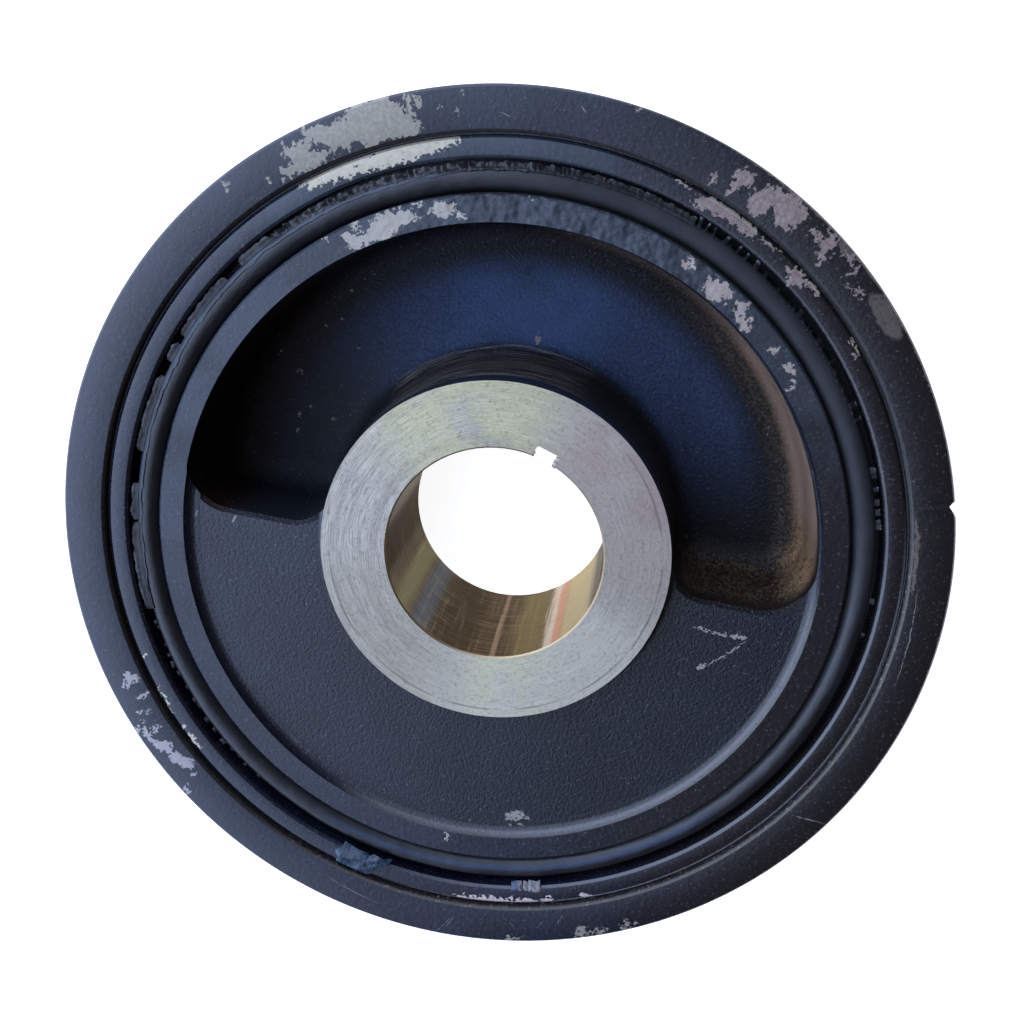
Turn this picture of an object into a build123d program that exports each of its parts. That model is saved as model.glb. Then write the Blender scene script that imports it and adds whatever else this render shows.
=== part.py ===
"""Harmonic balancer: a cast hub, a bonded rubber ring and a turned inertia ring.

Millimetres. +Z is the crank axis and points out of the front. The origin is on the
axis, at the back end of the boss. The keyway opens towards +Y.
"""
import math
import os

from build123d import *

# ---- overall sizes -------------------------------------------------------------
RING_DIA = 180.0            # outside diameter of the inertia ring
HUB_LENGTH = 38.0           # boss, from its back end to its front face

# ---- bore and keyway -----------------------------------------------------------
BORE_DIA = 44.0
BORE_CHAMFER = 0.3
KEY_WIDTH = 5.0
KEY_DEPTH = 2.2             # below the bore wall
KEY_CORNER = 0.5            # round in the two bottom corners of the keyway

# ---- hub casting ---------------------------------------------------------------
BOSS_WALL = 13.4            # bore to outside, at its front face
BOSS_DRAFT = 2.4            # degrees, wider towards the back
BOSS_TO_RIM = 2.8           # boss face stands this far in front of the rim face
RIM_WALL = 5.2              # rubber bond to the rim's turned inside
RIM_EDGE = 0.4              # chamfer on the rim's outer edges
WEB_RECESS = 2.0            # web front, below the rim face
WEB_COVE = 3.0              # radius of the hollow sweep from web up to rim
WEB_BOSS_FILLET = 1.5       # web into boss
HUB_RIM_BACK = 1.0          # rim's back land, in front of the boss's back end
BACK_RECESS = 1.5           # web's back, below the rim's back land
BACK_LAND = 9.0             # width of the rim's back land
BACK_BOSS_WALL = 16.0       # bore to outside, at the back
BACK_FILLET = 1.2

# ---- half-moon pocket cast into the web ----------------------------------------
POCKET_DIR = 107.6          # degrees from +X, middle of the half moon
POCKET_BOTTOM = 6.5         # iron left under the floor, to the web's back
POCKET_PAST_CENTRE = 2.8    # the two ends lie this far past the hub's centre line
POCKET_DRAFT = 2.4          # degrees
POCKET_SHIFT = 0.5          # the core sat this far off centre, towards one end
RIM_CORNERS = (8.5, 10.0)   # end corners against the rim, plan radius
BOSS_CORNER = 8.0           # end corners against the boss, plan radius
FLOOR_FILLET = 6.0          # walls into floor
MOUTH_EDGE = 0.8            # chamfer on the web's edge at the pocket's two ends

# ---- rubber --------------------------------------------------------------------
RUBBER_THICK = 6.5          # radial thickness, rim to inertia ring
BEAD_RADIUS = 2.3           # bead's side towards the rim
BEAD_TOP_RADIUS = 4.0       # its flatter top, outside the crown
BEAD_TOP_TURN = 28.0        # degrees of that flatter top
BEAD_SHOULDER = 1.3         # its outer shoulder
BEAD_BELOW_RIM = 0.2        # bead's crown, below the rim face
BEAD_GAP_RIM = 0.2          # bead's side, off the rim
BEAD_ROOT = 2.6             # the crease between bead and rim, below the rim face
GAP_DEPTH = 7.6             # open gap outside the bead, below the rim face
GAP_FILLET = 0.6
RUBBER_BACK = 5.0           # back of the rubber, in front of the ring's back face
RUBBER_BACK_DIP = 1.2       # hollow of its back surface

# ---- inertia ring --------------------------------------------------------------
RING_WIDTH = 13.2           # outside to the bore that the rubber is bonded in
RING_TO_RIM = 1.4           # annulus face, in front of the hub's rim face
RING_BACK = 3.0             # ring's back face, in front of the boss's back end
BAND_STEP = 1.0             # inner band, below the annulus face
BAND_WIDTH = 4.15           # bore wall to groove
BAND_EDGE = 0.55            # chamfers on the band's two edges and the annulus's inner edge
GROOVE_WIDTH = 0.5
GROOVE_DEPTH = 2.3          # below the annulus face
RING_EDGE = 0.5             # chamfers on the outer edges
BACK_EDGE = 0.6             # chamfer on the back edge of the ring's bore
NOTCH_DIR = 35.0            # degrees from +X
NOTCH_DEPTH = 1.2
NOTCH_SIDES = (2.3, 0.8)    # along the rim: the sloping side and the steep side

# ---- worked out from the above -------------------------------------------------
BORE_R = BORE_DIA / 2
BOSS_R = BORE_R + BOSS_WALL
RING_R = RING_DIA / 2
RING_BORE_R = RING_R - RING_WIDTH
RIM_R = RING_BORE_R - RUBBER_THICK
RIM_BORE_R = RIM_R - RIM_WALL
RIM_Z = HUB_LENGTH - BOSS_TO_RIM
WEB_Z = RIM_Z - WEB_RECESS
COVE_RISE = min(WEB_COVE, WEB_RECESS)
COVE_REACH = math.sqrt(WEB_COVE ** 2 - (WEB_COVE - COVE_RISE) ** 2)
WEB_BACK_Z = HUB_RIM_BACK + BACK_RECESS
FLOOR_Z = WEB_BACK_Z + POCKET_BOTTOM
ANNULUS_Z = RIM_Z + RING_TO_RIM
BAND_Z = ANNULUS_Z - BAND_STEP


def boss_radius(z):
    """Radius of the boss's drafted cast wall at height z."""
    return BOSS_R + (HUB_LENGTH - z) * math.tan(math.radians(BOSS_DRAFT))


def turned(path, rounds=()):
    """A full turn of a closed (radius, z) outline. A step of the path is a point, or a
    (middle, end) pair for an arc; rounds are (point, radius) pairs."""
    with BuildPart() as body:
        with BuildSketch(Plane.XZ) as outline:
            with BuildLine():
                here = path[0]
                for step in path[1:]:
                    if isinstance(step[0], tuple):
                        ThreePointArc(here, *step)
                        here = step[1]
                    else:
                        Line(here, step)
                        here = step
                if here != path[0]:
                    Line(here, path[0])
            make_face()
            for point, radius in rounds:
                corner = outline.vertices().sort_by_distance(point)[0]
                fillet(corner, radius)
        revolve(axis=Axis.Z)
    return body.part


def hub_blank():
    """The hub without its pocket and keyway: boss, web and rim."""
    web_in = (boss_radius(WEB_Z), WEB_Z)
    cove_turn = math.asin(COVE_REACH / WEB_COVE) / 2
    cove_middle = (RIM_BORE_R - COVE_REACH + WEB_COVE * math.sin(cove_turn),
                   WEB_Z + WEB_COVE * (1 - math.cos(cove_turn)))
    back_boss_r = BORE_R + BACK_BOSS_WALL
    back_in = (back_boss_r, WEB_BACK_Z)
    back_out = (RIM_R - BACK_LAND, WEB_BACK_Z)
    path = [
        (BORE_R, BORE_CHAMFER),
        (BORE_R, HUB_LENGTH - BORE_CHAMFER),
        (BORE_R + BORE_CHAMFER, HUB_LENGTH),
        (BOSS_R, HUB_LENGTH),
        web_in,
        (RIM_BORE_R - COVE_REACH, WEB_Z),
        (cove_middle, (RIM_BORE_R, WEB_Z + COVE_RISE)),
        *([(RIM_BORE_R, RIM_Z)] if WEB_RECESS > WEB_COVE else []),
        (RIM_R - RIM_EDGE, RIM_Z),
        (RIM_R, RIM_Z - RIM_EDGE),
        (RIM_R, HUB_RIM_BACK + RIM_EDGE),
        (RIM_R - RIM_EDGE, HUB_RIM_BACK),
        (RIM_R - BACK_LAND, HUB_RIM_BACK),
        back_out,
        back_in,
        (back_boss_r, 0),
        (BORE_R + BORE_CHAMFER, 0),
    ]
    rounds = [
        (web_in, WEB_BOSS_FILLET),
        (back_out, BACK_FILLET),
        (back_in, BACK_FILLET),
    ]
    return turned(path, rounds)


def half_moon():
    """Plan of the pocket at the web front, with u along +X: a rounded half ring."""
    outer_r = RIM_BORE_R - 0.2
    inner_r = boss_radius(WEB_Z)
    with BuildSketch() as plan:
        with Locations((0, POCKET_SHIFT)):
            Circle(outer_r)
        Circle(inner_r, mode=Mode.SUBTRACT)
        with Locations((-POCKET_PAST_CENTRE, 0)):
            Rectangle(RING_DIA, RING_DIA, align=(Align.MAX, Align.CENTER), mode=Mode.SUBTRACT)
        for side, radius in zip((-1, 1), RIM_CORNERS[::-1]):
            corner = plan.vertices().sort_by_distance((-POCKET_PAST_CENTRE, side * outer_r))[0]
            fillet(corner, radius)
        for side in (-1, 1):
            corner = plan.vertices().sort_by_distance((-POCKET_PAST_CENTRE, side * inner_r))[0]
            fillet(corner, BOSS_CORNER)
    return plan.sketch


def pocket_core():
    """The sand core of the half-moon pocket: drafted walls, big round into the floor."""
    plan = Rot(0, 0, POCKET_DIR) * half_moon()
    at_web = Plane.XY.offset(WEB_Z) * plan
    deep = extrude(at_web, amount=-(WEB_Z - FLOOR_Z), taper=POCKET_DRAFT)
    floor = deep.faces().sort_by(Axis.Z)[0]
    deep = fillet(floor.edges(), FLOOR_FILLET)
    mouth = extrude(at_web, amount=WEB_RECESS + 1)
    flare = extrude(Plane.XY.offset(WEB_Z - MOUTH_EDGE) * plan, amount=2 * MOUTH_EDGE, taper=-45)
    web_ring = Circle(RIM_BORE_R - COVE_REACH) - Circle(boss_radius(WEB_Z) + WEB_BOSS_FILLET)
    return deep + mouth + (flare & extrude(Plane.XY.offset(WEB_Z - 1) * web_ring, amount=2))


def keyway():
    """The slot broached in the bore wall, open towards +Y."""
    with BuildPart() as slot:
        with Locations((0, BORE_R + KEY_DEPTH, HUB_LENGTH / 2)):
            Box(KEY_WIDTH, 2 * KEY_DEPTH + 2, HUB_LENGTH + 2,
                align=(Align.CENTER, Align.MAX, Align.CENTER))
        bottom = slot.edges().filter_by(Axis.Z).group_by(Axis.Y)[-1]
        fillet(bottom, KEY_CORNER)
    return slot.part


def make_hub():
    """Hub casting with its pocket, bore and keyway."""
    hub = hub_blank() - pocket_core() - keyway()
    return hub


def bead_arc(centre, radius, start, end):
    """(middle, end) of an arc in the outline, its angles in degrees from straight up."""
    on_arc = [(centre[0] + radius * math.sin(math.radians(turn)),
               centre[1] + radius * math.cos(math.radians(turn)))
              for turn in ((start + end) / 2, end)]
    return tuple(on_arc)


def make_rubber_ring():
    """Rubber bonded to rim and ring, with the bead in front and the gap outside it."""
    crown_z = RIM_Z - BEAD_BELOW_RIM
    bead_r = RIM_R + BEAD_GAP_RIM + BEAD_RADIUS
    side = (bead_r, crown_z - BEAD_RADIUS)
    top = (bead_r, crown_z - BEAD_TOP_RADIUS)
    turn = math.radians(BEAD_TOP_TURN)
    inset = BEAD_TOP_RADIUS - BEAD_SHOULDER
    shoulder = (bead_r + inset * math.sin(turn), top[1] + inset * math.cos(turn))
    flank_r = shoulder[0] + BEAD_SHOULDER
    gap_z = RIM_Z - GAP_DEPTH
    back_z = RING_BACK + RUBBER_BACK
    middle_r = (RIM_R + RING_BORE_R) / 2
    root_z = RIM_Z - BEAD_ROOT
    root_turn = -math.degrees(math.acos((root_z - side[1]) / BEAD_RADIUS))
    root_r = side[0] + BEAD_RADIUS * math.sin(math.radians(root_turn))
    path = [
        (RIM_R, back_z),
        (RIM_R, root_z),
        (root_r, root_z),
        bead_arc(side, BEAD_RADIUS, root_turn, 0),
        bead_arc(top, BEAD_TOP_RADIUS, 0, BEAD_TOP_TURN),
        bead_arc(shoulder, BEAD_SHOULDER, BEAD_TOP_TURN, 90),
        (flank_r, gap_z),
        (RING_BORE_R, gap_z),
        (RING_BORE_R, back_z),
        ((middle_r, back_z + RUBBER_BACK_DIP), (RIM_R, back_z)),
    ]
    gap_round = min(GAP_FILLET, 0.45 * (RING_BORE_R - flank_r))   # kept inside the gap's floor
    return turned(path, [((flank_r, gap_z), gap_round)])


def ring_blank():
    """The turned inertia ring without its notch."""
    groove_in = RING_BORE_R + BAND_WIDTH
    groove_out = groove_in + GROOVE_WIDTH
    groove_z = ANNULUS_Z - GROOVE_DEPTH
    path = [
        (RING_BORE_R, RING_BACK + BACK_EDGE),
        (RING_BORE_R, BAND_Z - BAND_EDGE),
        (RING_BORE_R + BAND_EDGE, BAND_Z),
        (groove_in - BAND_EDGE, BAND_Z),
        (groove_in, BAND_Z - BAND_EDGE),
        (groove_in, groove_z),
        (groove_out, groove_z),
        (groove_out, ANNULUS_Z - BAND_EDGE),
        (groove_out + BAND_EDGE, ANNULUS_Z),
        (RING_R - RING_EDGE, ANNULUS_Z),
        (RING_R, ANNULUS_Z - RING_EDGE),
        (RING_R, RING_BACK + RING_EDGE),
        (RING_R - RING_EDGE, RING_BACK),
        (RING_BORE_R + BACK_EDGE, RING_BACK),
    ]
    return turned(path)


def timing_notch():
    """The V cut along the ring's outer edge: one steep side, one sloping side."""
    slope, steep = NOTCH_SIDES
    over = 0.5
    grow = 1 + over / NOTCH_DEPTH
    tip = (RING_R - NOTCH_DEPTH, 0)
    with BuildSketch() as plan:
        Polygon(tip, (RING_R + over, steep * grow), (RING_R + over, -slope * grow), align=None)
    cutter = extrude(plan.sketch, amount=HUB_LENGTH + 2)
    return Rot(0, 0, NOTCH_DIR) * Pos(0, 0, -1) * cutter


def make_inertia_ring():
    """Inertia ring with its timing notch."""
    return ring_blank() - timing_notch()


os.makedirs("parts", exist_ok=True)
export_step(make_hub(), "parts/hub.step")
export_step(make_rubber_ring(), "parts/rubber_ring.step")
export_step(make_inertia_ring(), "parts/inertia_ring.step")
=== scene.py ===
"""A crankshaft harmonic balancer: a painted cast hub with a half-moon lightening pocket,
a moulded rubber ring, and a painted iron ring that the rubber holds round the hub."""
import math
import random

import bmesh
import bpy
from mathutils import Matrix, Vector, noise as cloud_noise


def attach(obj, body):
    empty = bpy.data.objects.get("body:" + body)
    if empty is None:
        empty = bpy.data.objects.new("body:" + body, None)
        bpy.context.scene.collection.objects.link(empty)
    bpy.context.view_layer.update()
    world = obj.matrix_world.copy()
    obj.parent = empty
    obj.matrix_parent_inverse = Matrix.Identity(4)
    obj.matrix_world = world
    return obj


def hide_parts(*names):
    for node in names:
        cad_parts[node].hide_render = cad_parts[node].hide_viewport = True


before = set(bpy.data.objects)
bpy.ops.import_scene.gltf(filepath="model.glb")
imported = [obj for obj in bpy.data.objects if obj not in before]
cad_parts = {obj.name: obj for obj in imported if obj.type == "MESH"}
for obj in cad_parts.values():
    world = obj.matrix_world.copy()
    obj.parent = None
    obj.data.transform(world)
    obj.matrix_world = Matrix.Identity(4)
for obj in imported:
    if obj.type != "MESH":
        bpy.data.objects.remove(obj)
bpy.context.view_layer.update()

# ---------------------------------------------------------------------------
# The hub: grey iron cast in sand, turned on its faces, then sprayed dark blue.
# The boss face, the bore and the keyway are left bare to seat on the crank.
# ---------------------------------------------------------------------------
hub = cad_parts["hub"]

LAYOUT_TURN = 27.0          # wear is laid out from a line this many degrees past +X
BOSS_FACE = 38.0            # heights and radii in millimetres
BOSS_R = 35.4
BORE_REACH = 26.0           # farthest any of the bore's and the keyway's walls lie
RIM_FACE = 35.2
RIM_INNER_R = 65.1
WEB_FACE = 33.2
POCKET_FLOOR = 9.0
FACE_SLACK = 0.05           # a face this near a level is on it


class Wire:
    """An output of a finish being wired up; sums on it lay down Math nodes, and node lays
    down any other kind."""

    def __init__(self, tree, socket=None):
        self.tree = tree
        self.socket = socket

    def node(self, kind, settings=None, sockets=None, out=0):
        """Lays any node: its settings first, then the values or links of its sockets."""
        laid = self.tree.nodes.new(kind)
        for name, value in (settings or {}).items():
            setattr(laid, name, value)
        for name, value in (sockets or {}).items():
            if isinstance(value, Wire):
                self.tree.links.new(value.socket, laid.inputs[name])
            else:
                laid.inputs[name].default_value = value
        return Wire(self.tree, laid.outputs[out])

    def math(self, operation, *values):
        return self.node("ShaderNodeMath", {"operation": operation}, dict(enumerate(values)))

    def vector(self, operation, *values, out=0):
        values = dict(enumerate(values))
        return self.node("ShaderNodeVectorMath", {"operation": operation}, values, out)

    def __add__(self, other):
        return self.math("ADD", self, other)

    def __radd__(self, other):
        return self.math("ADD", other, self)

    def __sub__(self, other):
        return self.math("SUBTRACT", self, other)

    def __rsub__(self, other):
        return self.math("SUBTRACT", other, self)

    def __mul__(self, other):
        return self.math("MULTIPLY", self, other)

    def __rmul__(self, other):
        return self.math("MULTIPLY", other, self)

    def __abs__(self):
        return self.math("ABSOLUTE", self)

    def least(self, other):
        return self.math("MINIMUM", self, other)

    def most(self, other):
        return self.math("MAXIMUM", self, other)

    def rise(self, low, high):
        """0 at low and 1 at high, eased between; with low above high it falls instead."""
        if low > high:
            return 1 - self.rise(high, low)
        return self.node(
            "ShaderNodeMapRange", {"interpolation_type": "SMOOTHSTEP"},
            {"Value": self, "From Min": low, "From Max": high})

    def span(self, low, high, ease):
        """1 from low to high, easing to 0 over ease past each."""
        return self.rise(low - ease, low) * self.rise(high + ease, high)

    def part(self, axis):
        return self.node("ShaderNodeSeparateXYZ", None, {0: self}, axis)

    def over(self, below, above):
        """The colour above laid over the colour below, as far as this mask says."""
        return self.node("ShaderNodeMix", {"data_type": "RGBA"}, {0: self, 6: below, 7: above}, 2)


def chart(code):
    """A paint chart's colour code as light."""
    parts = [int(code[i:i + 2], 16) / 255 for i in (0, 2, 4)]
    light = [p / 12.92 if p <= 0.04045 else ((p + 0.055) / 1.055) ** 2.4 for p in parts]
    return (*light, 1.0)


def start_finish(name):
    """A new finish: its Principled shader, the spot being shaded in millimetres, and
    that spot's angle in degrees, radius and height."""
    finish = bpy.data.materials.new(name)
    finish.use_nodes = True
    tree = finish.node_tree
    spot = Wire(tree).node("ShaderNodeTexCoord", None, None, "Object")
    to_layout = (0.0, 0.0, math.radians(-LAYOUT_TURN))
    spot = spot.node(
        "ShaderNodeMapping", {"vector_type": "POINT"},
        {"Vector": spot, "Rotation": to_layout, "Scale": (1000.0,) * 3})
    x, y, height = (spot.part(axis) for axis in "XYZ")
    angle = y.math("ARCTAN2", y, x) * math.degrees(1)
    radius = (x * x + y * y).math("SQRT", x * x + y * y)
    return finish, tree.nodes["Principled BSDF"], spot, angle, radius, height


def place(x=0.0, y=0.0, z=0.0):
    """A vector from its three parts, at least one of them a wire."""
    maker = next(w for w in (x, y, z) if isinstance(w, Wire))
    return maker.node("ShaderNodeCombineXYZ", None, {"X": x, "Y": y, "Z": z})


def grain(spot, size, detail=2.0, rough=0.5, out=0):
    """Cloudy grain whose blotches are about size millimetres across."""
    return spot.node(
        "ShaderNodeTexNoise", None,
        {"Vector": spot, "Scale": 1.0 / size, "Detail": detail, "Roughness": rough}, out)


def relief(height):
    """A bump from a height in millimetres."""
    return height.node(
        "ShaderNodeBump", None, {"Height": height, "Distance": 0.001, "Strength": 1.0})


def connect(shader, **wires):
    """Feeds a shader's sockets, named with _ for a space, from wires or plain values."""
    for name, wire in wires.items():
        socket = shader.inputs[name.replace("_", " ")]
        if isinstance(wire, Wire):
            wire.tree.links.new(wire.socket, socket)
        else:
            socket.default_value = wire


def dress(piece, finishes, choose):
    """Gives each face of a piece the finish that choose names from its radius and
    height in millimetres."""
    piece.data.materials.clear()
    names = list(finishes)
    for finish in finishes.values():
        piece.data.materials.append(finish)
    for face in piece.data.polygons:
        centre = face.center * 1000
        face.material_index = names.index(choose(math.hypot(centre.x, centre.y), centre.z))


TORN_SIZE, SHARDS_PER_MM = 2.0, 1.5     # paint's torn edge, and the shards it breaks in


def plan(angle, radius, at_radius):
    """The part laid out flat in millimetres round it and outward, with the noise that
    tears the edges of its chips and the small angular shards brittle paint breaks in."""
    per_degree = math.radians(at_radius)
    flat = place(angle * per_degree, radius)
    stretched = flat.vector("MULTIPLY", flat, (1.0, 0.6, 1.0))
    torn = grain(stretched, TORN_SIZE, 4.0, 0.75, out="Color")
    shard = flat.node(
        "ShaderNodeTexVoronoi", {"voronoi_dimensions": "2D"},
        {"Vector": flat, "Scale": SHARDS_PER_MM}, "Color")
    return per_degree, flat, torn, shard


FAR_FROM_CHIPS = 9.0


def flaked(layout_plan, chips, ragged=5.0, shards=0.0):
    """Nearness to bared metal, under 1 inside a chip. A chip is its angle and radius,
    its length round the part, its width outward, and its lean in degrees."""
    per_degree, flat, torn, shard = layout_plan
    if shards:
        flat = flat.vector("MULTIPLY_ADD", shard, (shards, shards, 0.0), flat)
        flat = flat.vector("SUBTRACT", flat, (shards / 2, shards / 2, 0.0))
    flat = flat.vector("MULTIPLY_ADD", torn, (ragged * 0.8, ragged, 0.0), flat)
    along, out = flat.part("X"), flat.part("Y")
    nearest = None
    for chip_angle, chip_radius, length, width, lean in chips:
        # the nearness so far rides along as a third part that no chip reads, so that
        # the chips are worked out one after another and not each inside the next
        here = place(along, out, FAR_FROM_CHIPS if nearest is None else nearest)
        middle = Vector((chip_angle * per_degree + ragged * 0.4, chip_radius + ragged * 0.5, 0.0))
        if lean:
            reach = here.node(
                "ShaderNodeMapping", {"vector_type": "TEXTURE"},
                {"Vector": here, "Location": middle, "Rotation": (0.0, 0.0, math.radians(lean)),
                 "Scale": (length / 2, width / 2, 1e6)})
        else:
            reach = here.vector(
                "MULTIPLY_ADD", here, (2 / length, 2 / width, 0.0),
                (-2 * middle.x / length, -2 * middle.y / width, 0.0))
        reach = reach.vector("LENGTH", reach, out="Value")
        nearest = reach if nearest is None else reach.least(nearest)
    return nearest


# cast iron under paint: sand grain, with a thin coat that gathers in the hollows.
# A mark is its layout angle, radius, length round the part, width and lean.
SAND, FLECK, CLOUD, SMEAR = 0.68, 0.5, 13.0, 4.0       # sizes of the grains, in millimetres
COVE_FOOT_R = RIM_INNER_R - 2.83                       # where the web starts to sweep up to the rim
WEB_MARKS = (
    (-20.4, 47.4, 9.5, 0.35, 80), (-19.2, 52.6, 3.4, 1.0, 74), (-20.6, 44.6, 1.6, 0.9, 60),
    (-19.9, 49.6, 1.0, 0.9, 0), (-24.7, 51.6, 10.5, 0.26, 31), (-29.4, 48.9, 2.4, 0.7, 31),
    (-86.4, 60.8, 3.6, 2.4, -10), (-84.0, 61.6, 0.9, 0.8, 0), (-85.4, 63.1, 0.8, 0.7, 0),
    (-87.6, 62.9, 0.5, 0.5, 0), (175.3, 62.8, 1.2, 0.5, 0), (175.5, 54.9, 1.1, 0.7, 0),
    (-95.5, 62.8, 0.5, 0.5, 0), (-60.0, 58.0, 0.5, 0.4, 0),
)
POCKET_MARKS = (
    (81.0, 39.6, 1.6, 1.8, 0), (152.0, 44.0, 0.9, 0.5, 20), (146.0, 55.7, 0.7, 0.6, 0),
    (132.0, 49.0, 0.5, 0.4, 0), (145.7, 55.0, 0.6, 0.5, 0), (159.1, 50.4, 1.0, 0.8, 0),
    (133.8, 57.2, 0.6, 0.5, 0), (130.4, 56.3, 0.6, 0.5, 0), (152.1, 49.7, 0.7, 0.7, 0),
    (155.3, 51.2, 0.8, 0.7, 0), (144.5, 61.4, 0.6, 0.5, 0), (124.7, 59.4, 0.6, 0.5, 0),
)


def cast_paint(name, in_pocket):
    """Sprayed paint over the sand-cast web, or over the pocket, dark but for the blue middle of its
    floor, which carries a painted sky sheen.
    """
    finish, shader, spot, angle, radius, height = start_finish(name)
    sand = grain(spot, SAND, 3.0, 0.72)
    cloud = grain(spot, CLOUD, 2.0)
    fleck = grain(spot, FLECK, 1.0)
    if in_pocket:
        # the middle of the floor is blue paint under a painted sky sheen; the rest is dark iron and
        # dirt
        depth = height.rise(POCKET_FLOOR + 8.0, POCKET_FLOOR + 1.0)
        lit = angle.span(34.0, 108.0, 40.0) * radius.rise(59.0, 50.5)
        # painted glints: the blue's sand grain is picked out lighter
        blue_paint_and_sheen = sand.rise(0.3, 0.75).over(chart("232f45"), chart("3a4c6c"))
        # painted sheen: paler blue over the very middle of the floor
        middle_sheen = angle.span(76.0, 92.0, 20.0) * cloud.rise(0.2, 0.6)
        blue_paint_and_sheen = (middle_sheen * 0.6).over(blue_paint_and_sheen, chart("3e567f"))
        iron = angle.rise(60.0, 130.0).over(chart("0e0c0a"), chart("1e2126"))
        rusty = angle.span(138.0, 200.0, 24.0) * radius.rise(51.0, 60.0)
        iron = rusty.over(iron, chart("22150f"))
        paint = (depth * lit * (cloud.rise(0.1, 0.5) * 0.3 + 0.7)).over(iron, blue_paint_and_sheen)
        smear = grain(spot, SMEAR, 4.0, 0.7)
        right = angle.span(-26.0, 40.0, 18.0)
        at_wall = radius.rise(55.5, 60.0).most(angle.rise(-5.0, -14.0) * 0.8)
        dirt = right * at_wall * smear.rise(0.1, 0.5) * height.rise(33.0, 31.5)
        specks = sand.rise(0.44, 0.6) * height.rise(31.5, 25.0)
        specks = specks * (angle.rise(-3.0, -8.0) * 0.6 + 0.4)
        paint = dirt.over(paint, specks.over(chart("221a13"), chart("6a5842")))
        # dust and thin rust lie along the wall's foot and toward its lip
        dust = angle.span(-5.0, 34.0, 9.0) * radius.rise(57.5, 62.8)
        dust = dust * height.rise(9.4, 12.5) * height.rise(32.5, 25.0)
        dust = dust * smear.rise(0.15, 0.6) * (sand.rise(0.4, 0.58) * 0.7 + 0.3)
        paint = dust.over(paint, chart("ab8662"))
        lip = angle.rise(-4.0, 8.0) * (angle.rise(58.0, 26.0) * 0.65 + angle.rise(88.0, 66.0) * 0.3)
        lip = lip * radius.rise(60.3, 63.3) * height.rise(32.5, 29.0)
        paint = (lip * smear.rise(0.1, 0.45)).over(paint, chart("947a68"))
        # the boss's own wall is scratched round by whatever was turned inside the pocket
        neck = radius.rise(39.5, 37.0)
        rub = grain(place(height, angle * 0.012, radius * 0.1), 0.28, 3.0, 0.7)
        rub = rub.rise(0.48, 0.66) * angle.span(70.0, 122.0, 14.0)
        paint = (neck * 0.9).over(paint, rub.over(chart("12100f"), chart("857b70")))
        marks, tint, gloss = POCKET_MARKS, chart("8d8078"), 0.26
        rough, swell = sand * 0.25 + neck * 0.45 + 0.2, sand * 0.42
    else:
        paint = cloud.rise(0.35, 0.7).over(chart("11141e"), chart("191d27"))
        # painted shade: the web is darker over the lower right, away from the window
        paint = (angle.span(-70.0, -25.0, 30.0) * 0.5).over(paint, chart("0f1015"))
        # the sweep up to the rim over the lower right is paler grey: wear, with a painted highlight
        crease_highlight_and_wear = radius.rise(63.9, 64.5) * 0.6 + radius.rise(62.8, 63.8) * 0.2
        crease_highlight_and_wear = crease_highlight_and_wear * angle.span(-112.0, -14.0, 14.0) * sand.rise(0.0, 0.5)
        paint = crease_highlight_and_wear.over(paint, chart("6a6866"))
        marks, tint, gloss = WEB_MARKS, chart("948c84"), 0.6
        # paint fills the foot of the sweep up to the rim, so only its upper half catches light
        foot = (radius.least(63.3) + radius.least(64.0)) * 0.5 - COVE_FOOT_R
        rough, swell = sand * 0.15 + 0.22, sand * 0.17 + foot.most(0.0) * foot.most(0.0) * -0.17
    paint = (fleck.rise(0.68, 0.76) * (0.6 if in_pocket else 0.35)).over(paint, chart("7a7c80"))
    near = flaked(plan(angle, radius, 50.0), marks, 1.6, 0.5)
    paint = (near.rise(1.15, 0.85) * fleck.rise(0.34, 0.46)).over(paint, tint)
    connect(
        shader, Base_Color=paint, Roughness=rough, Specular_IOR_Level=gloss, Normal=relief(swell))
    return finish


# the rim face is turned before paint, so only broad ripples and knocks show
RIM_CHIPS = (
    (31.5, 66.9, 1.4, 2.2, 0), (34.2, 68.0, 3.0, 1.0, -12), (38.2, 67.5, 1.8, 1.3, 20),
    (44.6, 66.6, 3.4, 2.0, 0), (46.5, 68.0, 2.2, 3.0, -20), (49.6, 68.2, 2.8, 1.8, 0),
    (51.6, 67.6, 3.8, 4.4, 0), (53.3, 69.0, 0.9, 1.6, 0), (57.4, 68.5, 2.6, 1.7, 0),
    (56.3, 70.2, 0.8, 0.6, 0), (98.4, 68.2, 4.8, 2.8, 10), (95.6, 66.4, 2.2, 1.2, 0),
    (102.2, 70.0, 1.8, 0.9, 0), (103.0, 67.4, 1.4, 0.8, 0), (107.2, 67.9, 10.0, 4.0, -8),
    (110.5, 66.5, 10.5, 2.8, 0), (112.7, 69.8, 1.5, 1.6, 0), (114.6, 68.0, 1.8, 2.2, 0),
    (118.0, 69.9, 0.8, 0.6, 0), (84.4, 70.1, 0.7, 0.6, 0), (-99.3, 66.7, 1.6, 1.4, 0),
)


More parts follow.
